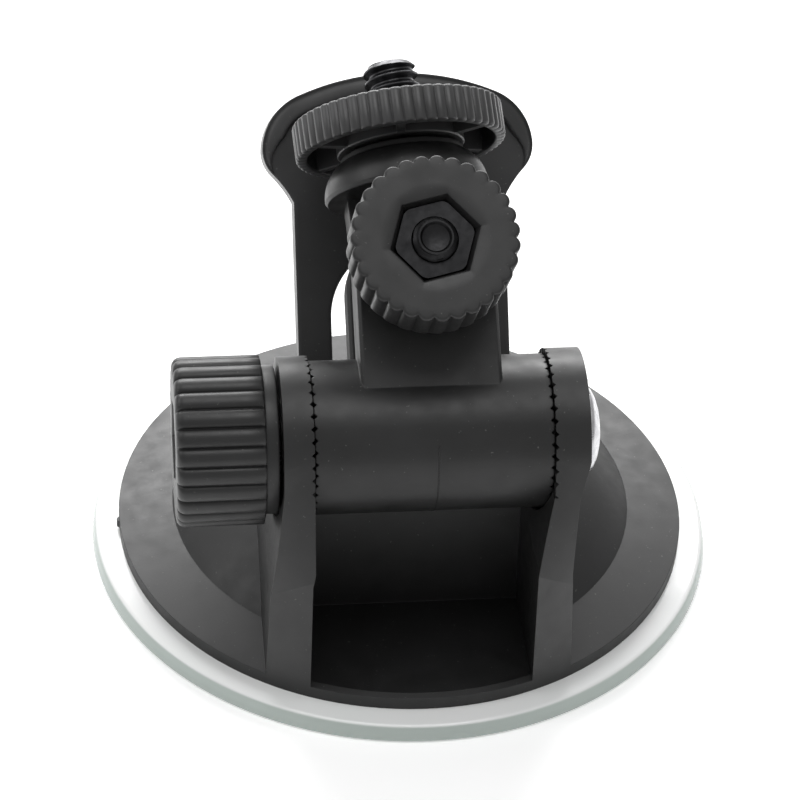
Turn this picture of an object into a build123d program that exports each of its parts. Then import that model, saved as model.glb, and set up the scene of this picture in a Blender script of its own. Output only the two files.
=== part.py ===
from build123d import *
import os
from math import acos, atan2, cos, hypot, pi, radians, sin

# Windscreen suction mount with a tilting arm and a 1/4-20 camera screw.
# Millimetres. +X is to the right, +Y is away from the front, +Z is up.
# The origin is under the centre of the suction cup, on the surface it stands on.

# ---------------------------------------------------------------- driving dimensions
cup_r = 37.5                # suction cup, lower edge
cup_rim_h = 2.1             # height of its rim, which the flange presses on
flange_r = 34.2             # housing flange
flange_h = 1.6              # height of the flange's side wall
dome_r = 27.7               # foot of the dome
dome_foot_z = 5.0
dome_top_z = 13.0
shell = 1.8                 # wall thickness of the housing

barrel_y = -18.0            # axis of the barrel, along X
barrel_z = 29.6
barrel_r = 8.7
ear_r = 9.3                 # round top of the ears
left_inner_x = -13.1        # inner faces of the ears at the barrel
right_inner_x = 13.8
left_outer_x = -16.5
right_outer_x = 17.75
bolt_seat_x = 17.45         # under the barrel bolt's head
pocket_left_x = -13.4       # pocket between the ears' feet
pocket_right_x = 12.2
tooth_gap = 0.1             # between the serrated faces
tooth_count = 40
tooth_depth = 0.35

arm_x = 0.45                # middle of the arm's column
lean = 50.65                # degrees, column from vertical towards the back
arm_len = 18.0              # barrel axis to tilt axis
arm_half = 7.9              # half width of the column
arm_front = 7.8             # front face of the column, from the barrel axis
arm_rear = -9.4
tilt_seat = arm_rear + 1.2  # under the tilt bolt's head
tongue_front = 0.7          # tongue of the head, between the fork's cheeks
tongue_rear = -4.7
fork_gap = 0.5

bolt_r = 2.5                # M5
bolt_bore_r = 2.6
nut_af = 8.0
nut_h = 4.0
washer_r = 5.0
washer_h = 1.0
bolt_head_r = 5.0
bolt_head_h = 2.5
neck_h = 1.5                # square neck under a bolt's head
neck_hole = 5.2

tilt_knob_r = 9.35          # hand knobs, over the ribs
barrel_knob_r = 9.6
rib_depth = 0.6
tilt_knob_back = 8.9        # from the barrel axis plane, along the tilt axis
tilt_knob_face = 19.0
barrel_knob_face_x = -28.3
barrel_knob_rib_x = -18.4
barrel_knob_in_x = -16.85
barrel_collar_r = 8.4

head_tilt = 4.6             # degrees, head leans to the left at rest
bell_r = 9.5
bell_low = 9.9              # heights along the head, from the tilt axis
bell_shoulder = 14.2
bell_top = 14.9
bell_ring_r = 7.1
disc_r = 12.2
disc_low = 15.4
disc_top = 19.6
screw_relief_r = 2.7        # undercut of the camera screw at the disc's top
screw_r = 3.175             # 1/4-20 UNC
screw_top = 25.6

pivot_z = 17.0              # lever pin, over the cup's centre
pin_r = 1.5
pin_clear = 0.05
post_r = 4.0
cam_r = 3.0                 # pin centre to pad with the lever up
cam_rise = 2.0              # lift in mm for each radian of lever travel
cam_gap = 0.15              # between the cams and the pad
lever_swing = 65.0          # degrees, up to locked
lever_x = 0.3
lever_lean = 37.5           # degrees from vertical
lever_half = 12.65          # half width of the stalk
lever_thick = 4.4
lever_set_back = 1.6        # middle of the stalk behind the pin
leg_in = 8.65               # half width of the opening between the legs
arch_s = 12.4               # centre of the arch, from the pin
paddle_half = 16.2
paddle_s = 41.3             # tip of the paddle, from the pin
curl_s = 34.0               # where the paddle starts to curl forwards
curl_angle = 15.0           # degrees
curl_r = 18.0
hub_in = 4.5                # cams, from the lever's middle plane
cam_top_s = 4.9             # top of the cams, along the stalk

# ---------------------------------------------------------------- shared frames
pad_z = pivot_z - cam_r - cam_gap
tilt_y = barrel_y + arm_len * sin(radians(lean))
tilt_z = barrel_z + arm_len * cos(radians(lean))
# Fork frame: x across, y along the column, z along the tilt axis towards the front.
fork = Plane(
    origin=(arm_x, tilt_y, tilt_z),
    x_dir=(1, 0, 0),
    z_dir=(0, -cos(radians(lean)), sin(radians(lean))),
)
# Head frame: x across, y towards the front, z along the camera screw.
head_frame = fork.location * Rot(0, 0, head_tilt) * Rot(-90, 0, 0)
# Lever frame: x across, y along the stalk, z out of its front face.
lever_frame = Plane(
    origin=(lever_x, 0, pivot_z),
    x_dir=(1, 0, 0),
    z_dir=(0, -cos(radians(lever_lean)), sin(radians(lever_lean))),
)
barrel_axis = Location((0, barrel_y, barrel_z))


# ---------------------------------------------------------------- helpers
def save(name, shape):
    solid = shape.solids()[0] if len(shape.solids()) == 1 else Compound(shape.solids())
    export_step(solid, f"parts/{name}.step")


def block(x0, x1, y0, y1, z0, z1):
    box = Box(x1 - x0, y1 - y0, z1 - z0)
    return Pos((x0 + x1) / 2, (y0 + y1) / 2, (z0 + z1) / 2) * box


def rod_x(radius, x0, x1):
    """Cylinder along X on the axis of the local frame."""
    return Pos((x0 + x1) / 2, 0, 0) * Rot(0, 90, 0) * Cylinder(radius, x1 - x0)


def rod_z(radius, z0, z1):
    return Pos(0, 0, (z0 + z1) / 2) * Cylinder(radius, z1 - z0)


def hex_prism(across_flats, z0, z1):
    hexagon = RegularPolygon(across_flats / 2, 6, major_radius=False)
    return Pos(0, 0, z0) * extrude(hexagon, z1 - z0)


def turned(*edges):
    """Solid of revolution about Z from edges in the XZ plane."""
    return revolve(make_face(Curve() + list(edges)), Axis.Z)


def lobed(count, peak_r, valley_r, height):
    """Prism whose outline is a ring of convex lobes. No valley lies on the X axis."""
    pitch = 2 * pi / count
    arcs = []
    for i in range(count):
        start, mid, end = [(i + share) * pitch for share in (-0.3, 0.2, 0.7)]
        arcs.append(
            ThreePointArc(
                (valley_r * cos(start), valley_r * sin(start)),
                (peak_r * cos(mid), peak_r * sin(mid)),
                (valley_r * cos(end), valley_r * sin(end)),
            )
        )
    return extrude(make_face(Curve() + arcs), height)


def crown_cuts(x, radius, turn):
    """Ring of radial V grooves in a face at x, turned by a share of their pitch."""
    half = 0.45 * pi * radius / tooth_count
    groove = make_face(
        Polyline(
            (-tooth_depth, 0, 0), (0, half, 0), (tooth_depth, 0, 0), (0, -half, 0), close=True
        )
    )
    long_groove = extrude(groove, radius + 1, dir=(0, 0, 1)) - rod_x(radius - 2.4, -1, 1)
    return [
        Pos(x, 0, 0) * Rot((i + turn) * 360 / tooth_count, 0, 0) * long_groove
        for i in range(tooth_count)
    ]


# ---------------------------------------------------------------- suction cup and stem
foot_r = 10.0
foot_low = 3.6
foot_high = 5.2
boss_top = 6.6
boss_foot_r = 14.8
boss_r = 12.6
seal_r = 35.5               # inside of the flat sealing lip
hollow = 1.5                # depth of the hollow underneath
soft_gap = 0.05             # between the moulded foot and the cup


def suction_cup():
    cup = turned(
        Polyline(
            (seal_r, 0, 0), (cup_r, 0, 0), (cup_r - 0.4, 0, cup_rim_h), (boss_foot_r, 0, cup_rim_h),
            (boss_r, 0, boss_top), (0, 0, boss_top), (0, 0, hollow),
        ),
        ThreePointArc((0, 0, hollow), (seal_r * 0.5, 0, hollow * 0.75), (seal_r, 0, 0)),
    )
    cup -= rod_z(foot_r + soft_gap, foot_low - soft_gap, foot_high + soft_gap)
    cup -= rod_z(post_r + soft_gap, foot_high, boss_top + 1)
    return cup


def cup_stem():
    top = pivot_z + cam_r
    stem = rod_z(foot_r, foot_low, foot_high) + rod_z(post_r, foot_high, top)
    stem = fillet(stem.edges().group_by(Axis.Z)[-1], 0.8)
    return stem - Pos(0, 0, pivot_z) * rod_x(pin_r, -post_r - 1, post_r + 1)


def lever_pin():
    pin = Pos(lever_x, 0, pivot_z) * rod_x(pin_r, -lever_half + 0.4, lever_half - 0.4)
    return chamfer(pin.edges().filter_by(GeomType.CIRCLE), 0.3)


# ---------------------------------------------------------------- base housing
fold_in_z = 19.8            # fold of the ears' front faces at the pocket side
fold_out_z = 15.3           # and at the outer side
ear_back_y = barrel_y + ear_r
cradle_r = barrel_r + 1.1
tower_front_y = -17.0
tower_top_z = 21.5
lip = 0.9                   # wall left at the front of the pocket
floor_z = 3.1

def dome(outer_r, wall_top, foot_r, foot_z, top_z, bottom_z):
    """Flange and dome as one turned solid."""
    knee_r = foot_r - 7.8
    knee_z = foot_z + (top_z - foot_z) * 0.65
    flat_r = 9.0
    return turned(
        Polyline(
            (0, 0, top_z), (0, 0, bottom_z), (outer_r, 0, bottom_z), (outer_r, 0, wall_top),
            (foot_r, 0, foot_z),
        ),
        ThreePointArc((foot_r, 0, foot_z), (knee_r, 0, knee_z), (flat_r, 0, top_z)),
        Line((flat_r, 0, top_z), (0, 0, top_z)),
    )


def ear_side(x, fold_z):
    """Side outline of an ear at x: a slope that touches the round top and folds at the flange's rim."""
    fold_y = -((flange_r**2 - x**2) ** 0.5)
    dy = fold_y - barrel_y
    dz = fold_z - barrel_z
    touch = atan2(dz, dy) - acos(ear_r / hypot(dy, dz))
    touch_y = barrel_y + ear_r * cos(touch)
    touch_z = barrel_z + ear_r * sin(touch)
    foot_y = touch_y + (cup_rim_h - touch_z) * (fold_y - touch_y) / (fold_z - touch_z)
    outline = Polyline(
        (x, ear_back_y, barrel_z), (x, ear_back_y, cup_rim_h), (x, foot_y, cup_rim_h),
        (x, touch_y, touch_z),
    )
    top = ThreePointArc(
        (x, touch_y, touch_z), (x, barrel_y, barrel_z + ear_r), (x, ear_back_y, barrel_z)
    )
    return make_face(Curve() + [outline, top])


def ear(inner, outer):
    """Ear between two lists of (x, z), which give its inner and outer faces from the top down."""
    inner_x = min([x for x, z in inner], key=abs)
    outer_x = max([x for x, z in outer], key=abs)
    body = loft([ear_side(inner_x, fold_in_z), ear_side(outer_x, fold_out_z)], ruled=True)
    points = [(x, 0, z) for x, z in inner] + [(x, 0, z) for x, z in reversed(outer)]
    front = extrude(make_face(Polyline(*points, close=True)), 60, dir=(0, 1, 0), both=True)
    return body & front & rod_z(flange_r, 0, 60)


def ears():
    top_z = barrel_z + ear_r + 1
    left = ear(
        [(left_inner_x, top_z), (left_inner_x, 20.6), (pocket_left_x, 19), (pocket_left_x, cup_rim_h)],
        [(left_outer_x, top_z), (left_outer_x, 29), (-17.3, 21), (-18.0, 15.5), (-18.4, cup_rim_h)],
    )
    right = ear(
        [(right_inner_x, top_z), (right_inner_x, 28.5), (11.9, fold_in_z), (pocket_right_x, cup_rim_h)],
        [
            (right_outer_x, top_z), (right_outer_x, 32), (16.7, 27), (16.2, 18), (17.1, cup_rim_h),
        ],
    )
    right -= barrel_axis * rod_x(barrel_r + 0.35, 0, right_inner_x)
    return left, right


def tower():
    side = make_face(
        Polyline(
            (0, tower_front_y, cup_rim_h), (0, tower_front_y, tower_top_z),
            (0, tower_front_y + 6.5, tower_top_z), (0, tower_front_y + 9.5, dome_top_z - 1),
            (0, tower_front_y + 9.5, cup_rim_h), close=True,
        )
    )
    wide = extrude(side, 40, dir=(1, 0, 0), both=True)
    body = wide & block(pocket_left_x - shell, pocket_right_x + shell, -40, 40, 0, 60)
    return body - barrel_axis * rod_x(cradle_r, -40, 40)


def base_housing():
    flange_top = cup_rim_h + flange_h
    body = dome(flange_r, flange_top, dome_r, dome_foot_z, dome_top_z, cup_rim_h)
    pocket = block(pocket_left_x, pocket_right_x, -flange_r, tower_front_y, floor_z, 40)
    body -= pocket & rod_z(flange_r - lip, 0, 60)
    body += tower()
    body += block(-13.3, 13.3, -5.0, 5.4, dome_top_z - 1.5, pad_z)
    for side in ears():
        body += side

    hollow_in = dome(31.0, cup_rim_h + 0.5, dome_r - 1.0, dome_foot_z - shell, dome_top_z - shell, 0)
    keep = block(pocket_left_x - shell, pocket_right_x + shell, -40, tower_front_y + shell, 0, 60)
    body -= hollow_in - keep
    body -= rod_z(post_r + 0.15, 0, 60)

    body -= barrel_axis * rod_x(bolt_bore_r, -40, 40)
    body -= barrel_axis * rod_x(bolt_head_r + 0.15, bolt_seat_x, 40)
    body -= barrel_axis * Pos(bolt_seat_x - neck_h / 2, 0, 0) * Box(neck_h, neck_hole, neck_hole)
    body -= barrel_axis * rod_x(barrel_collar_r + 0.4, -40, left_outer_x)

    for x in (left_inner_x, right_inner_x):
        body -= [barrel_axis * cut for cut in crown_cuts(x, ear_r, 0)]

    gate = Rot(0, 0, 181) * Pos(flange_r - 0.2, 0, 0) * rod_z(0.5, cup_rim_h + 0.4, flange_top - 0.2)
    return body + gate


# ---------------------------------------------------------------- lever
def stalk_band():
    """Side strip of the lever: straight, then curled forwards at the paddle."""
    mid = -lever_set_back
    near = mid + lever_thick / 2
    far = mid - lever_thick / 2
    turn = radians(curl_angle)
    centre = near + curl_r
    rest = 8.0

    def on_arc(radius, angle):
        return (0, curl_s + radius * sin(angle), centre - radius * cos(angle))

    def past_arc(radius):
        _, s, w = on_arc(radius, turn)
        return (0, s + rest * cos(turn), w + rest * sin(turn))

    inner = curl_r
    outer = curl_r + lever_thick
    edges = [
        Line((0, 0, far), (0, curl_s, far)),
        ThreePointArc(on_arc(outer, 0), on_arc(outer, turn / 2), on_arc(outer, turn)),
        Line(on_arc(outer, turn), past_arc(outer)),
        Line(past_arc(outer), past_arc(inner)),
        Line(past_arc(inner), on_arc(inner, turn)),
        ThreePointArc(on_arc(inner, turn), on_arc(inner, turn / 2), on_arc(inner, 0)),
        Line((0, curl_s, near), (0, 0, near)),
        Line((0, 0, near), (0, 0, far)),
    ]
    return extrude(make_face(Curve() + edges), 30, dir=(1, 0, 0), both=True)


def lever_half_outline():
    """Right half of the lever's front outline: the top, corner and neck are tangent arcs."""
    neck_s = 26.3
    wide_s = 32.8
    edges = [TangentArc((0, paddle_s), (11.9, paddle_s - 2.4), tangent=(1, 0))]
    for point in ((paddle_half, wide_s), (lever_half + 2.4, neck_s + 3.4), (lever_half, neck_s)):
        edges.append(TangentArc(edges[-1] @ 1, point, tangent=edges[-1] % 1))
    edges.append(Polyline((lever_half, neck_s), (lever_half, 0), (0, 0), (0, paddle_s)))
    return edges


def lever():
    half = extrude(make_face(Curve() + lever_half_outline()), 40, dir=(0, 0, 1), both=True)
    plate = half + mirror(half, about=Plane.YZ)
    opening = Pos(0, arch_s, 0) * rod_z(leg_in, -40, 40) + block(-leg_in, leg_in, -1, arch_s, -40, 40)
    body = (stalk_band() & plate) - opening
    for side in (1, -1):
        hub = extrude(cam_side(), lever_half - hub_in, dir=(side, 0, 0))
        body += Pos(side * hub_in, 0, 0) * hub
    body -= rod_x(pin_r + pin_clear, -20, 20)
    return lever_frame.location * body


def cam_side():
    """Cam outline: round in front, a flat to rest on, then an involute that lifts the stem."""
    tilt = radians(lever_lean)
    swing = radians(lever_swing)

    def on_cam(angle, reach, along):
        down_s, down_w = -cos(angle + tilt), -sin(angle + tilt)
        return (0, reach * down_s - along * down_w, reach * down_w + along * down_s)

    def lifted(angle):
        return on_cam(angle, cam_r + cam_rise * angle, cam_rise)

    rise = [lifted(swing * i / 6) for i in range(7)]
    front = on_cam(-pi / 2, cam_r, 0)
    bottom = on_cam(0, cam_r, 0)
    edges = [
        ThreePointArc(front, on_cam(-pi / 4, cam_r, 0), bottom),
        Line(bottom, rise[0]),
        Spline(*rise),
        ThreePointArc(rise[-1], (0, cam_top_s, -lever_set_back), front),
    ]
    return make_face(Curve() + edges)


# ---------------------------------------------------------------- arm, barrel bolt and knob
def arm():
    """Barrel and forked column, in the fork frame and then placed."""
    to_barrel = Pos(-arm_x, -arm_len, 0)
    x0 = left_inner_x + tooth_gap
    x1 = right_inner_x - tooth_gap
    barrel = rod_x(barrel_r, x0, x1)
    for x in (x0, x1):
        barrel -= crown_cuts(x, barrel_r, 0.5)

    column = block(-arm_half, arm_half, -arm_len, 0, arm_rear, arm_front)
    column += rod_z(arm_half, arm_rear, arm_front)
    slot_front = tongue_front + fork_gap
    slot_rear = tongue_rear - fork_gap
    slot_low = -arm_len + barrel_r - 0.4
    column -= block(-20, 20, slot_low, 20, slot_rear, slot_front)
    column = chamfer(column.edges().filter_by(lambda e: e.length > 5 and e.center().Y > slot_low), 0.35)
    body = to_barrel * barrel + column
    body -= to_barrel * rod_x(bolt_bore_r, -40, 40)
    body -= rod_z(bolt_bore_r, -40, 40)
    body -= rod_z(bolt_head_r + 0.15, arm_rear - 1, tilt_seat)
    body -= Pos(0, 0, tilt_seat + neck_h / 2) * Box(neck_hole, neck_hole, neck_h)
    return fork.location * body


def bolt(length, tip_chamfer):
    """Domed bolt with a square neck, its head's seat on Z = 0 and its shank towards +Z."""
    shank = rod_z(bolt_r, 0, length)
    shank = chamfer(shank.edges().group_by(Axis.Z)[-1], tip_chamfer)
    neck = Pos(0, 0, neck_h / 2) * Box(neck_hole - 0.1, neck_hole - 0.1, neck_h)
    rim = bolt_head_h * 0.52
    head = turned(
        ThreePointArc(
            (0, 0, -bolt_head_h), (bolt_head_r * 0.62, 0, -bolt_head_h * 0.86), (bolt_head_r, 0, -rim)
        ),
        Polyline((bolt_head_r, 0, -rim), (bolt_head_r, 0, 0), (0, 0, 0), (0, 0, -bolt_head_h)),
    )
    return shank + neck + head


def nut():
    """M5 nut on Z = 0, with chamfered corners."""
    corner = nut_af / 2 / cos(pi / 6)
    body = hex_prism(nut_af, 0, nut_h)
    body &= chamfer(rod_z(corner, 0, nut_h).edges().filter_by(GeomType.CIRCLE), 0.35)
    return body - rod_z(bolt_r, -1, nut_h + 1)


def washer():
    return rod_z(washer_r, 0, washer_h) - rod_z(bolt_bore_r + 0.05, -1, 2)


def nut_pocket(face_z, depth):
    """Hexagonal pocket that opens wider at the knob's face."""
    straight = hex_prism(nut_af + 0.02, face_z - depth, face_z + 1)
    mouth = loft(
        [
            Pos(0, 0, face_z - 1.3) * RegularPolygon(nut_af / 2 + 0.01, 6, major_radius=False),
            Pos(0, 0, face_z + 0.01) * RegularPolygon(nut_af / 2 + 0.5, 6, major_radius=False),
        ]
    )
    return straight + mouth


# Both knobs are drawn with their back on Z = 0 and their face towards +Z.
tilt_knob_h = tilt_knob_face - tilt_knob_back
barrel_knob_h = barrel_knob_in_x - barrel_knob_face_x
pocket_depth = 4.9
nut_inset = 0.9
nut_turn = 13               # degrees, tilt nut in its knob
washer_sink = 0.7           # washer's depth in the barrel knob's collar


def tilt_knob():
    knob_r = tilt_knob_r
    valley_r = knob_r - rib_depth
    ribs = lobed(31, knob_r, valley_r, tilt_knob_h)
    envelope = turned(
        Polyline(
            (0, 0, 0), (valley_r - 1.2, 0, 0), (valley_r - 0.3, 0, 0.9),
            (knob_r + 0.3, 0, 4.8), (knob_r + 0.3, 0, tilt_knob_h - 0.6),
            (knob_r - 0.3, 0, tilt_knob_h), (0, 0, tilt_knob_h), close=True,
        )
    )
    body = ribs & envelope
    body -= rod_z(bolt_bore_r, -1, 30)
    body -= Rot(0, 0, nut_turn) * nut_pocket(tilt_knob_h, pocket_depth)
    return body


def barrel_knob():
    knob_r = barrel_knob_r
    collar_h = barrel_knob_in_x - barrel_knob_rib_x
    ribs = Pos(0, 0, collar_h) * lobed(26, knob_r, knob_r - rib_depth, barrel_knob_h - collar_h)
    end_round = 0.9
    envelope = turned(
        Polyline((0, 0, 0), (knob_r + 1, 0, 0), (knob_r + 1, 0, barrel_knob_h - 3)),
        Line((knob_r + 1, 0, barrel_knob_h - 3), (knob_r + 0.05, 0, barrel_knob_h - end_round)),
        ThreePointArc(
            (knob_r + 0.05, 0, barrel_knob_h - end_round),
            (knob_r - 0.25, 0, barrel_knob_h - 0.25),
            (knob_r - end_round, 0, barrel_knob_h),
        ),
        Polyline((knob_r - end_round, 0, barrel_knob_h), (0, 0, barrel_knob_h), (0, 0, 0)),
    )
    body = (ribs & envelope) + rod_z(barrel_collar_r, 0, collar_h)
    body -= rod_z(bolt_bore_r, -1, 30)
    body -= rod_z(washer_r + 0.1, -1, washer_sink)
    body -= nut_pocket(barrel_knob_h, pocket_depth)
    return body


def place_on_barrel(x, shape):
    """Put a shape on the barrel's axis at x, its local +Z turned to -X."""
    return Pos(x, 0, 0) * barrel_axis * Rot(0, -90, 0) * shape


# ---------------------------------------------------------------- head, disc and screw
def head():
    """Tongue in the fork frame, bell in the head frame."""
    tongue_r = 7.0
    tongue = rod_z(tongue_r, tongue_rear, tongue_front)
    tongue += block(-tongue_r, tongue_r, 0, bell_low + 1.5, tongue_rear, tongue_front)
    bell = turned(
        Polyline((0, 0, bell_low), (bell_r - 0.3, 0, bell_low), (bell_r, 0, bell_low + 0.4)),
        ThreePointArc(
            (bell_r, 0, bell_low + 0.4),
            (bell_r - 0.65, 0, (bell_low + bell_shoulder) / 2 + 0.6),
            (bell_ring_r + 0.3, 0, bell_shoulder),
        ),
        Polyline(
            (bell_ring_r + 0.3, 0, bell_shoulder), (bell_ring_r, 0, bell_shoulder),
            (bell_ring_r, 0, bell_top), (bell_ring_r - 1.4, 0, bell_top),
            (bell_ring_r - 1.4, 0, bell_shoulder), (0, 0, bell_shoulder), (0, 0, bell_low),
        ),
    )
    body = fork.location * Rot(0, 0, head_tilt) * tongue + head_frame * bell
    body -= fork.location * rod_z(bolt_bore_r, -40, 40)
    return body - camera_screw()


def camera_screw():
    shank = rod_z(screw_r, bell_low + 1, screw_top)
    shank = chamfer(shank.edges().group_by(Axis.Z)[-1], 0.6)
    shank -= rod_z(screw_r + 1, disc_top - 0.4, disc_top + 0.2) - rod_z(screw_relief_r, 0, 40)
    return head_frame * (shank + hex_prism(9.5, bell_low + 1, bell_low + 3.6))


disc_plate = 1.2            # top plate of the locking disc
disc_wall = 1.3
disc_hub_r = 7.4
disc_nut_af = 11.1
disc_nut_h = 2.8


def lock_disc():
    height = disc_top - disc_low
    ridges = Pos(0, 0, disc_low) * lobed(58, disc_r, disc_r - 0.22, height)
    envelope = turned(
        Polyline(
            (0, 0, disc_low), (disc_r - 0.2, 0, disc_low), (disc_r + 0.3, 0, disc_low + 0.7),
            (disc_r + 0.3, 0, disc_top - 0.65), (disc_r - 0.35, 0, disc_top), (0, 0, disc_top),
            close=True,
        )
    )
    body = ridges & envelope
    ring = rod_z(disc_r - disc_wall, disc_low - 1, disc_top - disc_plate) - rod_z(disc_hub_r, 0, 40)
    for i in range(6):
        ring -= Rot(0, 0, 60 * i + 25) * block(0, disc_r, -0.5, 0.5, 0, 40)
    body -= ring
    body -= rod_z(screw_r + 0.1, 0, 40)
    body -= hex_prism(disc_nut_af, disc_low - 1, disc_low + 0.3 + disc_nut_h)
    return head_frame * body


def disc_nut():
    body = hex_prism(disc_nut_af, disc_low + 0.3, disc_low + 0.3 + disc_nut_h)
    return head_frame * (body - rod_z(screw_r + 0.05, 0, 40))


# ---------------------------------------------------------------- write the nodes
def main():
    os.makedirs("parts", exist_ok=True)
    save("suction_cup", suction_cup())
    save("cup_stem", cup_stem())
    save("lever_pin", lever_pin())
    save("base_housing", base_housing())
    save("lever", lever())
    save("arm", arm())
    barrel_bolt_length = bolt_seat_x - barrel_knob_face_x + 0.6
    save("barrel_bolt", place_on_barrel(bolt_seat_x, bolt(barrel_bolt_length, 0.5)))
    save("barrel_washer", place_on_barrel(barrel_knob_in_x - washer_sink + washer_h, washer()))
    save("barrel_nut", place_on_barrel(barrel_knob_face_x + nut_inset + nut_h, nut()))
    save("barrel_knob", place_on_barrel(barrel_knob_in_x, barrel_knob()))
    at_seat = fork.location * Pos(0, 0, tilt_seat)
    save("tilt_bolt", at_seat * bolt(tilt_knob_face - tilt_seat + 0.3, 0.5))
    save("tilt_washer", fork.location * Pos(0, 0, arm_front + 0.05) * washer())
    nut_back = tilt_knob_face - nut_inset - nut_h
    save("tilt_nut", fork.location * Pos(0, 0, nut_back) * Rot(0, 0, nut_turn) * nut())
    save("tilt_knob", fork.location * Pos(0, 0, tilt_knob_back) * tilt_knob())
    save("head", head())
    save("camera_screw", camera_screw())
    save("lock_disc", lock_disc())
    save("disc_nut", disc_nut())


main()
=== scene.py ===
from math import atan2, cos, hypot, pi, radians, sin, sqrt, tan

import bmesh
import bpy
import numpy as np
from mathutils import Matrix, Vector


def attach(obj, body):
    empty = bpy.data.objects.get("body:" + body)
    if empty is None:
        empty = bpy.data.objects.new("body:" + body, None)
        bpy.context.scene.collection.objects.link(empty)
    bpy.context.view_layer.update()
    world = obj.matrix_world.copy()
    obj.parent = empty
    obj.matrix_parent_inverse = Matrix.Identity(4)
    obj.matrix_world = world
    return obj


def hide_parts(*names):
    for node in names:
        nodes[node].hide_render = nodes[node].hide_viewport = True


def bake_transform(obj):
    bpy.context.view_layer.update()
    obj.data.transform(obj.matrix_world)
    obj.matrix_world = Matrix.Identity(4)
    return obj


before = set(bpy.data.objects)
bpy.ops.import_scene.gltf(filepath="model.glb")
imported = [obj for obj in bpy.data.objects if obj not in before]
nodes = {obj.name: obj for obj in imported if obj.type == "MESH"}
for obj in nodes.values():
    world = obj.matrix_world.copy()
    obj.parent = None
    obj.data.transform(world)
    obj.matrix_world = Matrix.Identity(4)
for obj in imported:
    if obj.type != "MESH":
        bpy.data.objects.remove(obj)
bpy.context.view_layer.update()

# ---------------------------------------------------------------- sizes, in millimetres
# Driving dimensions as in the CAD source, apart from the ribs, which are 0.05 deeper here.
MM = 0.001
barrel_y = -18.0
barrel_z = 29.6
barrel_r = 8.7
bolt_seat_x = 17.45
arm_x = 0.45
lean = radians(50.65)
arm_len = 18.0
arm_front = 7.8
arm_rear = -9.4
bolt_r = 2.5
bore_r = 2.65
bolt_pitch = 0.8
nut_af = 8.0
nut_h = 4.0
washer_h = 1.0
washer_r = 5.0
tilt_knob_r = 9.35
barrel_knob_r = 9.6
rib_depth = 0.65
tilt_knob_back = 8.9
tilt_knob_face = 19.0
barrel_knob_in = -16.85
barrel_knob_rib = -18.4
barrel_knob_face = -28.3
barrel_collar_r = 8.4
pocket_depth = 4.9
pocket_circle_r = 6.2
pocket_turn = radians(13)
head_tilt = radians(4.6)
disc_r = 12.2
disc_low = 15.4
disc_top = 19.6
disc_nut_af = 11.1
disc_nut_h = 3.1
disc_bore_r = 3.3
screw_r = 3.175
screw_pitch = 1.27
screw_top = 25.6
pivot_z = 17.0
pin_r = 1.5
pin_half = 12.25
lever_x = 0.3
lever_lean = radians(37.5)
lever_half = 12.65
lever_face = 0.6
neck_s = 26.3
wide_s = 32.8
paddle_half = 16.2
paddle_s = 41.3
curl_s = 34.0
curl_r = 18.0
curl_angle = radians(15)


# ---------------------------------------------------------------- frames
def place(origin, x_axis, z_axis):
    """Matrix in millimetres with the given origin and axes."""
    x, z = Vector(x_axis).normalized(), Vector(z_axis).normalized()
    y = z.cross(x)
    turn = Matrix((x, y, z)).transposed().to_4x4()
    return Matrix.Translation(Vector(origin)) @ turn


fork = place(
    (arm_x, barrel_y + arm_len * sin(lean), barrel_z + arm_len * cos(lean)),
    (1, 0, 0),
    (0, -cos(lean), sin(lean)),
)
head_frame = fork @ Matrix.Rotation(head_tilt, 4, "Z") @ Matrix.Rotation(radians(-90), 4, "X")
to_left = place((0, barrel_y, barrel_z), (0, 0, 1), (-1, 0, 0))


def on_barrel(x):
    """Frame on the barrel's axis at x, its Z to the left."""
    return to_left @ Matrix.Translation((0, 0, -x))


def on_fork(z):
    return fork @ Matrix.Translation((0, 0, z))


# ---------------------------------------------------------------- mesh helpers
def new_piece(name, verts, faces, where=Matrix.Identity(4), smooth=True):
    """Object from points in millimetres in a local frame."""
    mesh = bpy.data.meshes.new(name)
    mesh.from_pydata([(where @ Vector(v)) * MM for v in verts], [], faces)
    mesh.update()
    obj = bpy.data.objects.new(name, mesh)
    bpy.context.scene.collection.objects.link(obj)
    tidy_normals(obj)
    if smooth:
        smooth_by_angle(obj, 35)
    return obj


def tidy_normals(obj):
    bm = bmesh.new()
    bm.from_mesh(obj.data)
    bmesh.ops.recalc_face_normals(bm, faces=bm.faces)
    bm.to_mesh(obj.data)
    bm.free()


def smooth_by_angle(obj, degrees_limit):
    """Smooth shading with sharp edges where the surface turns by more than the limit."""
    mesh = obj.data
    mesh.polygons.foreach_set("use_smooth", [True] * len(mesh.polygons))
    bm = bmesh.new()
    bm.from_mesh(mesh)
    limit = radians(degrees_limit)
    for edge in bm.edges:
        edge.smooth = len(edge.link_faces) == 2 and edge.calc_face_angle(0) < limit
    bm.to_mesh(mesh)
    bm.free()


def rings_piece(name, rings, where=Matrix.Identity(4), sharp=35):
    """Closed skin through rings of points with the same count; the ends are capped."""
    count = len(rings[0])
    verts = [tuple(p) for ring in rings for p in ring]
    faces = []
    for i in range(len(rings) - 1):
        for j in range(count):
            k = (j + 1) % count
            faces.append((i * count + j, i * count + k, (i + 1) * count + k, (i + 1) * count + j))
    faces.append(tuple(reversed(range(count))))
    faces.append(tuple((len(rings) - 1) * count + j for j in range(count)))
    obj = new_piece(name, verts, faces, where, smooth=False)
    smooth_by_angle(obj, sharp)
    return obj


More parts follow.
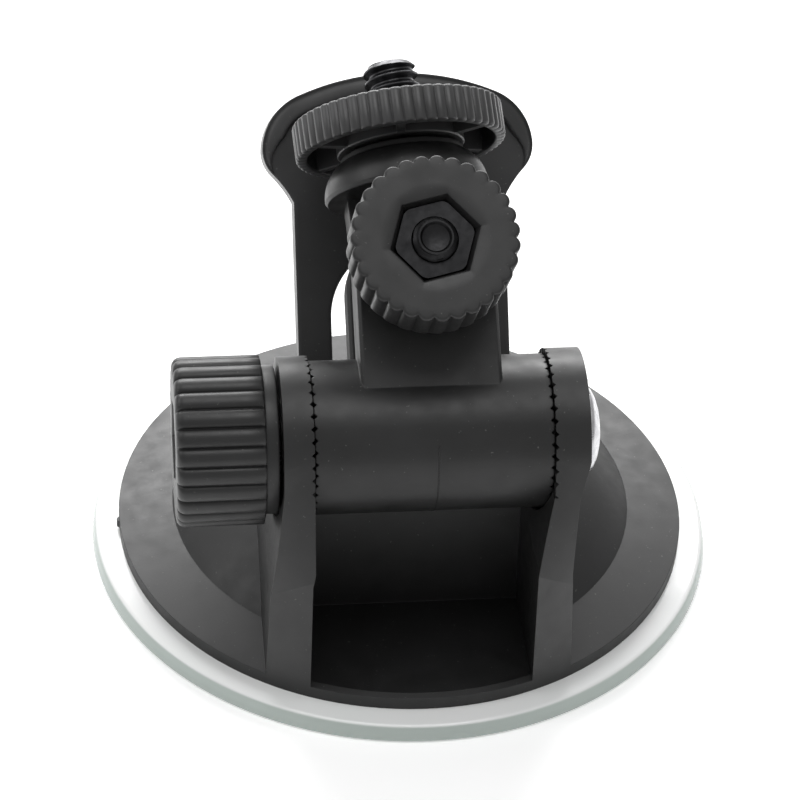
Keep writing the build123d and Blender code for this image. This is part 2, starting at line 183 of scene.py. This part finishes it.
def tube_piece(name, rings, where=Matrix.Identity(4), sharp=35):
    """Like rings_piece, with the last ring joined to the first."""
    count = len(rings[0])
    verts = [tuple(p) for ring in rings for p in ring]
    faces = []
    for i in range(len(rings)):
        after = (i + 1) % len(rings)
        for j in range(count):
            k = (j + 1) % count
            faces.append((i * count + j, i * count + k, after * count + k, after * count + j))
    obj = new_piece(name, verts, faces, where, smooth=False)
    smooth_by_angle(obj, sharp)
    return obj


def ring(radius, z, angles):
    """Ring of points; radius is a number or one value for each angle."""
    r = radius * np.ones_like(angles)
    return np.stack([r * np.cos(angles), r * np.sin(angles), np.full_like(angles, z)], axis=1)


def full_turn(count):
    return np.arange(count) * 2 * pi / count


def hexagon(across_flats, angles, turn=0.0):
    """Distance from the centre to a hexagon's edge at each angle."""
    sector = (angles - turn) % (pi / 3) - pi / 6
    return across_flats / 2 / np.cos(sector)


def lobes(count, peak, valley, angles, roundness=0.6):
    """Distance from the centre to a ring of round lobes at each angle."""
    share = (angles * count / (2 * pi)) % 1.0
    return valley + (peak - valley) * (1 - (2 * share - 1) ** 2) ** roundness


# ---------------------------------------------------------------- materials
def fresh(name):
    material = bpy.data.materials.new(name)
    material.use_nodes = True
    tree = material.node_tree
    tree.nodes.clear()
    out = tree.nodes.new("ShaderNodeOutputMaterial")
    shader = tree.nodes.new("ShaderNodeBsdfPrincipled")
    tree.links.new(shader.outputs["BSDF"], out.inputs["Surface"])
    place_node = tree.nodes.new("ShaderNodeTexCoord")
    return material, tree, shader, place_node.outputs["Object"]


def noise(tree, where, scale, detail=4.0, roughness=0.55):
    node = tree.nodes.new("ShaderNodeTexNoise")
    node.inputs["Scale"].default_value = scale
    node.inputs["Detail"].default_value = detail
    node.inputs["Roughness"].default_value = roughness
    tree.links.new(where, node.inputs["Vector"])
    return node.outputs["Fac"]


def ramp(tree, value, stops):
    """Colour ramp from (position, colour) stops."""
    node = tree.nodes.new("ShaderNodeValToRGB")
    points = node.color_ramp.elements
    while len(points) < len(stops):
        points.new(0.5)
    for point, (position, colour) in zip(points, stops):
        point.position = position
        point.color = (*colour, 1.0)
    tree.links.new(value, node.inputs["Fac"])
    return node.outputs["Color"]


def mapped(tree, value, low, high, from_low=0.3, from_high=0.7):
    node = tree.nodes.new("ShaderNodeMapRange")
    node.inputs["From Min"].default_value = from_low
    node.inputs["From Max"].default_value = from_high
    node.inputs["To Min"].default_value = low
    node.inputs["To Max"].default_value = high
    tree.links.new(value, node.inputs["Value"])
    return node.outputs["Result"]


def blend_colour(tree, share, under, over):
    """Colour under, with a plain colour over it where share is 1."""
    node = tree.nodes.new("ShaderNodeMix")
    node.data_type = "RGBA"
    node.inputs["B"].default_value = (*over, 1.0)
    tree.links.new(share, node.inputs["Factor"])
    tree.links.new(under, node.inputs["A"])
    return node.outputs["Result"]


def bump(tree, height, strength, distance_mm, under=None):
    node = tree.nodes.new("ShaderNodeBump")
    node.inputs["Strength"].default_value = strength
    node.inputs["Distance"].default_value = distance_mm * MM
    tree.links.new(height, node.inputs["Height"])
    if under is not None:
        tree.links.new(under, node.inputs["Normal"])
    return node.outputs["Normal"]


def soft_edges(tree, radius_mm):
    """Normal that rounds the sharp edges of a moulded piece."""
    node = tree.nodes.new("ShaderNodeBevel")
    node.samples = 6
    node.inputs["Radius"].default_value = radius_mm * MM
    return node.outputs["Normal"]


def black_plastic(name, dark, light, rough, grain_mm=0.35, grain=0.25, edge_mm=0.25):
    """Moulded black plastic: fine spark texture, soft flow marks, softened edges."""
    material, tree, shader, where = fresh(name)
    shader.inputs["IOR"].default_value = 1.5
    flow = noise(tree, where, 120.0, 3.0)
    tone = ramp(tree, flow, [(0.3, (dark,) * 3), (0.7, (light, light, light * 1.03))])
    specks = mapped(tree, noise(tree, where, 2400.0, 1.0), 0.0, 1.0, 0.73, 0.82)
    tree.links.new(blend_colour(tree, specks, tone, (0.07, 0.07, 0.067)), shader.inputs["Base Color"])
    patches = noise(tree, where, 420.0, 5.0)
    tree.links.new(mapped(tree, patches, rough - 0.05, rough + 0.07), shader.inputs["Roughness"])
    fine = noise(tree, where, 1000.0 / grain_mm, 2.0)
    sag = bump(tree, noise(tree, where, 90.0, 2.0), 0.04, 0.4, soft_edges(tree, edge_mm))
    tree.links.new(bump(tree, fine, grain, 0.02, sag), shader.inputs["Normal"])
    return material


def steel(name, dark, light, rough):
    """Plated steel with a cloudy tone and dull spots."""
    material, tree, shader, where = fresh(name)
    shader.inputs["Metallic"].default_value = 1.0
    cloud = noise(tree, where, 500.0, 5.0)
    tree.links.new(ramp(tree, cloud, [(0.3, dark), (0.7, light)]), shader.inputs["Base Color"])
    spots = noise(tree, where, 1600.0, 3.0)
    tree.links.new(mapped(tree, spots, rough - 0.08, rough + 0.12), shader.inputs["Roughness"])
    tree.links.new(bump(tree, spots, 0.15, 0.01), shader.inputs["Normal"])
    return material


def clear_soft():
    """Clear soft plastic with a faint grey-green tint and small surface ripples; side-facing faces get a
    painted shade of darker grey-green, and upward faces stay whiter as painted light.
    """
    material, tree, shader, where = fresh("clear_soft")
    shader.inputs["Transmission Weight"].default_value = 0.15
    shader.inputs["IOR"].default_value = 1.5
    cloud = noise(tree, where, 60.0, 3.0)
    tint = ramp(tree, cloud, [(0.3, (0.96, 0.98, 0.97)), (0.7, (1.0, 1.0, 1.0))])
    # Painted shade and painted light: the colour follows the surface normal, darker grey-green on faces
    # turned to the side (the plastic's tint plus painted shade), whiter on faces turned up.
    facing = tree.nodes.new("ShaderNodeSeparateXYZ")
    geometry = tree.nodes.new("ShaderNodeNewGeometry")
    tree.links.new(geometry.outputs["Normal"], facing.inputs["Vector"])
    painted_side_shade = mapped(tree, facing.outputs["Z"], 1.0, 0.0, 0.4, 0.9)
    tint_and_painted_shade = blend_colour(tree, painted_side_shade, tint, (0.47, 0.53, 0.50))
    tree.links.new(tint_and_painted_shade, shader.inputs["Base Color"])
    tree.links.new(mapped(tree, cloud, 0.06, 0.16), shader.inputs["Roughness"])
    tree.links.new(bump(tree, noise(tree, where, 150.0, 2.0), 0.1, 0.1), shader.inputs["Normal"])
    return material


def paint(obj, material, body):
    obj.data.materials.clear()
    obj.data.materials.append(material)
    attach(obj, body)


housing_black = black_plastic("housing_black", 0.007, 0.012, 0.43, edge_mm=0.12)
lever_black = black_plastic("lever_black", 0.019, 0.028, 0.4, edge_mm=0.6)
arm_black = black_plastic("arm_black", 0.006, 0.011, 0.42)
knob_black = black_plastic("knob_black", 0.008, 0.013, 0.42, 0.3, 0.2)
disc_black = black_plastic("disc_black", 0.03, 0.045, 0.36, 0.3, 0.2)
stem_black = black_plastic("stem_black", 0.02, 0.026, 0.35, 0.6, 0.1)
blackened = steel("blackened", (0.02, 0.02, 0.021), (0.03, 0.03, 0.031), 0.38)
zinc = steel("zinc", (0.45, 0.45, 0.47), (0.7, 0.7, 0.71), 0.3)
dark_steel = steel("dark_steel", (0.035, 0.035, 0.037), (0.1, 0.1, 0.105), 0.32)
clear = clear_soft()


# ---------------------------------------------------------------- moulded pieces from the CAD shape
def moulded():
    """The moulded pieces keep their CAD shape and get their own materials."""
    for node, material in (
        ("base_housing", housing_black), ("lever", lever_black), ("arm", arm_black),
        ("head", arm_black), ("cup_stem", stem_black), ("disc_nut", dark_steel),
    ):
        nodes[node].data.materials.clear()
        nodes[node].data.materials.append(material)


# ---------------------------------------------------------------- turned and ribbed pieces
def suction_cup():
    angles = full_turn(192)
    outline = [
        (0.01, 6.6), (12.3, 6.6), (12.6, 6.4), (14.7, 2.25), (15.2, 2.1), (30.0, 2.1), (36.6, 2.1),
        (36.95, 2.03), (37.1, 1.85), (37.42, 0.35), (37.4, 0.12), (37.2, 0.0), (35.6, 0.0),
        (33.0, 0.25), (26.0, 0.85), (18.0, 1.25), (9.0, 1.47), (0.01, 1.5),
    ]
    obj = rings_piece("cup_skin", [ring(r, z, angles) for r, z in outline], sharp=40)
    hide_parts("suction_cup")
    obj.data.materials.append(clear)
    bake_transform(obj)


def knob_pocket(height, angles, turn, circle):
    """Rings from the face's middle ring down the hexagonal pocket to the bolt's hole."""
    mouth = hexagon(nut_af + 1.0, angles, turn)
    inner = hexagon(nut_af + 0.05, angles, turn)
    floor_z = height - pocket_depth
    return [
        ring(circle, height, angles),
        ring(mouth + 0.12, height, angles),
        ring(mouth, height - 0.05, angles),
        ring(mouth - 0.06, height - 0.18, angles),
        ring(inner + 0.04, height - 1.3, angles),
        ring(inner, height - 1.5, angles),
        ring(inner, floor_z, angles),
        ring(bore_r, floor_z, angles),
    ]


def tilt_knob():
    count = 31
    angles = full_turn(count * 16)
    height = tilt_knob_face - tilt_knob_back
    full = lobes(count, tilt_knob_r, tilt_knob_r - rib_depth, angles + 0.02)
    rings = [ring(bore_r, 0, angles), ring(6.9, 0, angles), ring(7.5, 0.06, angles), ring(7.9, 0.3, angles)]
    rings += [ring(8.2, 0.62, angles)]
    for step in range(13):
        z = 0.9 + step * 0.28
        cone = 8.4 + (z - 0.9) * 0.31
        rings.append(ring(np.minimum(cone, full), z, angles))
    for back, inset in ((1.2, 0.0), (0.28, 0.0), (0.1, 0.07), (0.02, 0.2), (0.0, 0.36)):
        rings.append(ring(full - inset, height - back, angles))
    rings.append(ring(8.0, height, angles))
    rings += knob_pocket(height, angles, pocket_turn, pocket_circle_r)
    where = fork @ Matrix.Translation((0, 0, tilt_knob_back))
    obj = tube_piece("tilt_knob_ribbed", rings, where, 38)
    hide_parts("tilt_knob")
    paint(obj, knob_black, "tilt_knob")


def barrel_knob():
    count = 26
    angles = full_turn(count * 16)
    height = barrel_knob_in - barrel_knob_face
    collar = barrel_knob_in - barrel_knob_rib
    full = lobes(count, barrel_knob_r, barrel_knob_r - rib_depth, angles, 0.5)
    seat_r = washer_r + 0.1
    shoulder_r = barrel_collar_r + 0.1
    profile = [
        (bore_r, 0.7), (seat_r, 0.7), (seat_r, 0), (barrel_collar_r - 0.3, 0),
        (barrel_collar_r - 0.08, 0.08), (barrel_collar_r, 0.3),
        (barrel_collar_r, collar - 0.1), (shoulder_r, collar),
    ]
    rings = [ring(r, z, angles) for r, z in profile]
    for start, inset in ((0.0, 0.3), (0.06, 0.1), (0.2, 0.0), (2.0, 0.0)):
        rings.append(ring(np.maximum(full - inset, shoulder_r), collar + start, angles))
    for back, inset in ((1.0, 0.0), (0.62, 0.08), (0.3, 0.28), (0.1, 0.55), (0.0, 0.95)):
        rings.append(ring(full - inset, height - back, angles))
    rings.append(ring(7.3, height, angles))
    rings += knob_pocket(height, angles, 0.0, pocket_circle_r)
    where = to_left @ Matrix.Translation((0, 0, -barrel_knob_in))
    obj = tube_piece("barrel_knob_ribbed", rings, where, 38)
    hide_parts("barrel_knob")
    paint(obj, knob_black, "barrel_knob")


def threaded(radius, pitch, depth, low, high, tip, angles, step=0.08):
    """Rings of a screw thread from low to high, with a chamfered end."""
    rings = []
    count = int(round((high - low) / step))
    for i in range(count + 1):
        z = low + (high - low) * i / count
        phase = (z / pitch - angles / (2 * pi)) % 1.0
        flank = np.clip(np.abs(2 * phase - 1) * 1.35 - 0.18, 0, 1)
        r = radius - depth * (1 - flank)
        rings.append(ring(np.minimum(r, tip + (high - z)), z, angles))
    return rings


def bolt(name, node, length, where, body):
    """Carriage bolt with its head's seat on Z = 0 and a dished tip."""
    angles = full_turn(96)
    square_af = 5.1
    head = [
        (0.01, -2.5), (1.5, -2.46), (2.8, -2.28), (3.8, -1.98), (4.5, -1.62), (4.85, -1.35),
        (4.99, -1.15), (5.0, -0.25), (4.85, -0.02), (4.6, 0.0),
    ]
    rings = [ring(r, z, angles) for r, z in head]
    square = square_af / 2 / np.cos((angles + pi / 4) % (pi / 2) - pi / 4)
    square = np.minimum(square, 3.4)
    rings += [ring(square, 0.0, angles), ring(square, 1.4, angles), ring(bolt_r, 1.6, angles)]
    rings += threaded(bolt_r, bolt_pitch, 0.45, 1.8, length, 1.95, angles)
    for r, z in ((1.75, 0.0), (1.5, -0.35), (0.9, -0.5), (0.01, -0.53)):
        rings.append(ring(r, length + z, angles))
    obj = rings_piece(name, rings, where, 40)
    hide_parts(node)
    paint(obj, blackened if body == "arm" else zinc, body)


def nut(name, node, where, body):
    angles = full_turn(96)
    full = hexagon(nut_af, angles)
    cone = nut_af / 2 / cos(pi / 6) + 0.05
    rings = []
    for z, cap in ((0.0, cone - 0.25), (0.5, 9.0), (nut_h - 0.5, 9.0), (nut_h, cone - 0.25)):
        rings.append(ring(np.minimum(full, cap), z, angles))
    rings += [ring(2.62, nut_h, angles), ring(2.52, nut_h - 0.15, angles), ring(2.52, 0.4, angles)]
    rings += [ring(2.9, 0.0, angles)]
    obj = tube_piece(name, rings, where, 30)
    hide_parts(node)
    paint(obj, blackened if body == "tilt_knob" else zinc, body)


def washer(name, node, where, body):
    angles = full_turn(96)
    low_half = [(bore_r, 0.1), (bore_r + 0.1, 0.0), (washer_r - 0.15, 0.0), (washer_r, 0.15)]
    profile = low_half + [(r, washer_h - z) for r, z in reversed(low_half)]
    obj = tube_piece(name, [ring(r, z, angles) for r, z in profile], where, 40)
    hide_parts(node)
    paint(obj, zinc, body)


def parting_line():
    """Fine raised line where the arm's mould halves met, round the barrel's open side."""
    around = np.linspace(radians(-210), radians(40), 90)
    wire = full_turn(8)
    rings = []
    for turn in around:
        reach = barrel_r + 0.06 * np.cos(wire)
        across = arm_x + 0.3 + 0.09 * np.sin(wire)
        y = barrel_y + reach * np.cos(turn)
        z = barrel_z + reach * np.sin(turn)
        rings.append(np.stack([across, y, z], axis=1))
    obj = rings_piece("arm_parting_line", rings, sharp=60)
    paint(obj, arm_black, "arm")


def tangent_arc(start, heading, end, steps):
    """Points of the arc that leaves start along heading and ends at end, and its last heading."""
    across, up = end[0] - start[0], end[1] - start[1]
    turn = 2 * (atan2(up, across) - heading)
    radius = hypot(across, up) / (2 * sin(turn / 2))
    points = []
    for i in range(1, steps + 1):
        part = turn * i / steps
        reach = 2 * radius * sin(part / 2)
        way = heading + part / 2
        points.append((start[0] + reach * cos(way), start[1] + reach * sin(way)))
    return points, heading + turn


def paddle_face(s):
    """Height of the paddle's front face over the lever's middle plane, at s along it."""
    if s < curl_s:
        return lever_face
    curled = min(s - curl_s, curl_r * sin(curl_angle))
    height = lever_face + curl_r - sqrt(curl_r**2 - curled**2)
    return height + (s - curl_s - curled) * tan(curl_angle)


def paddle_rim():
    """Raised rim round the paddle's top, which slopes down to its outline."""
    right = [(0.0, paddle_s)]
    heading = 0.0
    top_corner = (11.9, paddle_s - 2.4, 14)
    side = (paddle_half, wide_s, 16)
    neck = (lever_half + 2.4, neck_s + 3.4, 8)
    for x, s, steps in (top_corner, side, neck):
        points, heading = tangent_arc(right[-1], heading, (x, s), steps)
        right += points
    path = [(-x, s) for x, s in reversed(right[1:])] + right
    rings = []
    for i, (x, s) in enumerate(path):
        before, after = path[max(i - 1, 0)], path[min(i + 1, len(path) - 1)]
        along = Vector((after[0] - before[0], after[1] - before[1])).normalized()
        size = min(1.0, 0.1 + min(i, len(path) - 1 - i) / 14)
        crest = 0.9 * size
        section = [(0.12, -0.05), (0.2, 0.03), (2.0 * size, crest), (2.2 * size, crest), (2.5 * size, -0.05)]
        ring_points = []
        for inset, height in section:
            across, up = x + inset * along.y, s - inset * along.x
            ring_points.append((across, up, paddle_face(up) + height))
        rings.append(ring_points)
    where = place((lever_x, 0, pivot_z), (1, 0, 0), (0, -cos(lever_lean), sin(lever_lean)))
    obj = rings_piece("lever_paddle_rim", rings, where, 50)
    paint(obj, lever_black, "lever")


def lever_pin():
    angles = full_turn(64)
    low = -pin_half
    profile = [(0.01, low), (pin_r - 0.3, low), (pin_r - 0.05, low + 0.12), (pin_r, low + 0.35)]
    profile += [(r, -z) for r, z in reversed(profile)]
    where = place((lever_x, 0, pivot_z), (0, 0, -1), (1, 0, 0))
    obj = rings_piece("lever_pin_turned", [ring(r, z, angles) for r, z in profile], where, 40)
    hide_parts("lever_pin")
    paint(obj, zinc, "stem")


def camera_screw():
    angles = full_turn(96)
    rings = [ring(0.01, 11.0, angles), ring(4.7, 11.0, angles), ring(4.7, 13.4, angles)]
    rings += [ring(2.9, 13.6, angles)]
    rings += threaded(screw_r, screw_pitch, 0.62, 14.0, screw_top, 2.5, angles, 0.07)
    rings.append(ring(0.01, screw_top, angles))
    obj = rings_piece("camera_screw_threaded", rings, head_frame, 50)
    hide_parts("camera_screw")
    paint(obj, dark_steel, "head")


def disc_rib(turn):
    """Thin radial wall under the disc, as points and faces."""
    inner, outer, half, low, high = 7.2, disc_r - 1.1, 0.5, disc_low + 0.15, disc_top - 1.1
    flat = ((inner, -half), (outer, -half), (outer, half), (inner, half))
    corners = [(x, y, z) for z in (low, high) for x, y in flat]
    spin = Matrix.Rotation(turn, 4, "Z")
    points = [tuple(spin @ Vector(c)) for c in corners]
    faces = [(0, 3, 2, 1), (4, 5, 6, 7), (0, 1, 5, 4), (1, 2, 6, 5), (2, 3, 7, 6), (3, 0, 4, 7)]
    return points, faces


def lock_disc():
    count = 58
    angles = full_turn(count * 10)
    full = lobes(count, disc_r, disc_r - 0.34, angles, 0.75)
    height = disc_top - disc_low
    rings = [ring(disc_bore_r, disc_top - 0.2, angles), ring(disc_bore_r + 0.2, disc_top, angles)]
    rings.append(ring(disc_r - 1.4, disc_top, angles))
    upper_edge = ((0.0, 0.5), (0.04, 0.3), (0.14, 0.12), (0.34, 0.0))
    lower_edge = ((height - 0.3, 0.0), (height - 0.08, 0.1), (height, 0.3))
    for back, inset in upper_edge + lower_edge:
        rings.append(ring(full - inset, disc_top - back, angles))
    wall = disc_r - 1.3
    rings += [ring(wall + 0.1, disc_low, angles), ring(wall, disc_low + 0.12, angles)]
    rings += [ring(wall, disc_top - 1.4, angles), ring(wall - 0.3, disc_top - 1.2, angles)]
    rings += [ring(7.6, disc_top - 1.2, angles), ring(7.4, disc_top - 1.4, angles)]
    rings += [ring(7.4, disc_low + 0.12, angles), ring(7.28, disc_low, angles)]
    nut_hole = hexagon(disc_nut_af, angles, radians(30))
    nut_top = disc_low + disc_nut_h
    rings += [ring(nut_hole, disc_low, angles), ring(nut_hole, nut_top, angles)]
    rings += [ring(disc_bore_r, nut_top, angles)]
    obj = tube_piece("lock_disc_ridged", rings, head_frame, 38)
    bm = bmesh.new()
    bm.from_mesh(obj.data)
    for i in range(6):
        points, faces = disc_rib(radians(60 * i + 25))
        made = [bm.verts.new((head_frame @ Vector(p)) * MM) for p in points]
        for face in faces:
            bm.faces.new([made[k] for k in face])
    bm.to_mesh(obj.data)
    bm.free()
    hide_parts("lock_disc")
    paint(obj, disc_black, "lock_disc")


moulded()
suction_cup()
tilt_knob()
barrel_knob()
tilt_seat = arm_rear + 1.2
nut_low = tilt_knob_face - 0.9 - nut_h
barrel_bolt_length = bolt_seat_x - barrel_knob_face - 0.7
tilt_bolt_length = tilt_knob_face - tilt_seat + 0.3
bolt("barrel_bolt_turned", "barrel_bolt", barrel_bolt_length, on_barrel(bolt_seat_x), "base")
bolt("tilt_bolt_turned", "tilt_bolt", tilt_bolt_length, on_fork(tilt_seat), "arm")
nut("barrel_nut_turned", "barrel_nut", on_barrel(barrel_knob_face + 0.9 + nut_h), "barrel_knob")
nut("tilt_nut_turned", "tilt_nut", on_fork(nut_low) @ Matrix.Rotation(pocket_turn, 4, "Z"), "tilt_knob")
washer("barrel_washer_turned", "barrel_washer", on_barrel(barrel_knob_in + 0.3), "barrel_washer")
washer("tilt_washer_turned", "tilt_washer", on_fork(arm_front + 0.05), "tilt_washer")
parting_line()
paddle_rim()
lever_pin()
camera_screw()
lock_disc()


# ---------------------------------------------------------------- floor, light and camera
def floor():
    mesh = bpy.data.meshes.new("floor")
    half = 0.9
    corners = [(-half, -half, 0), (half, -half, 0), (half, half, 0), (-half, half, 0)]
    mesh.from_pydata(corners, [], [(0, 1, 2, 3)])
    obj = bpy.data.objects.new("floor", mesh)
    bpy.context.scene.collection.objects.link(obj)
    obj.location.z = -0.0001
    material, tree, shader, where = fresh("pale_floor")
    cloud = noise(tree, where, 6.0, 2.0)
    pale = ramp(tree, cloud, [(0.3, (0.93, 0.93, 0.93)), (0.7, (0.96, 0.96, 0.96))])
    tree.links.new(pale, shader.inputs["Base Color"])
    tree.links.new(mapped(tree, cloud, 0.75, 0.85), shader.inputs["Roughness"])
    shader.inputs["Emission Color"].default_value = (1, 1, 1, 1)
    shader.inputs["Emission Strength"].default_value = 0.25
    mesh.materials.append(material)


def area_light(name, place_mm, aim_mm, size_mm, power):
    data = bpy.data.lights.new(name, "AREA")
    data.shape = "RECTANGLE"
    data.size, data.size_y = size_mm[0] * MM, size_mm[1] * MM
    data.energy = power
    obj = bpy.data.objects.new(name, data)
    bpy.context.scene.collection.objects.link(obj)
    obj.location = Vector(place_mm) * MM
    aim = (Vector(aim_mm) - Vector(place_mm)).normalized()
    obj.rotation_euler = aim.to_track_quat("-Z", "Y").to_euler()


def lights():
    world = bpy.data.worlds.new("studio")
    world.use_nodes = True
    world.node_tree.nodes["Background"].inputs["Color"].default_value = (1, 1, 1, 1)
    world.node_tree.nodes["Background"].inputs["Strength"].default_value = 0.45
    bpy.context.scene.world = world
    area_light("back", (0, 420, 260), (0, 0, 25), (500, 260), 3.1)
    area_light("left", (-380, 60, 330), (0, 0, 25), (260, 260), 0.4)
    area_light("front", (60, -460, 260), (0, 0, 5), (420, 240), 0.06)
    area_light("top", (0, -60, 520), (0, 0, 25), (300, 300), 0.8)


def camera():
    """Camera at the photograph's angle."""
    distance = 400.0
    lens_mm = 151.0479
    pitch = radians(38.79)
    roll = radians(2.70)
    yaw = radians(7.42)
    aim = Vector((-0.55, 0, 20.0))
    forward = Vector((0, cos(pitch), -sin(pitch)))
    up = Vector((0, sin(pitch), cos(pitch)))
    right = Vector((1, 0, 0))
    turned_right = cos(roll) * right + sin(roll) * up
    turned_up = cos(roll) * up - sin(roll) * right
    spin = Matrix.Rotation(-yaw, 3, "Z")
    x, y, z = spin @ turned_right, spin @ turned_up, spin @ -forward
    data = bpy.data.cameras.new("camera")
    data.sensor_width = 36.0
    data.lens = lens_mm
    data.clip_start = 0.01
    obj = bpy.data.objects.new("camera", data)
    bpy.context.scene.collection.objects.link(obj)
    where = spin @ (aim - distance * forward)
    obj.matrix_world = Matrix.Translation(where * MM) @ Matrix((x, y, z)).transposed().to_4x4()
    bpy.context.scene.camera = obj


floor()
lights()
camera()
bpy.context.scene.view_settings.view_transform = "Standard"
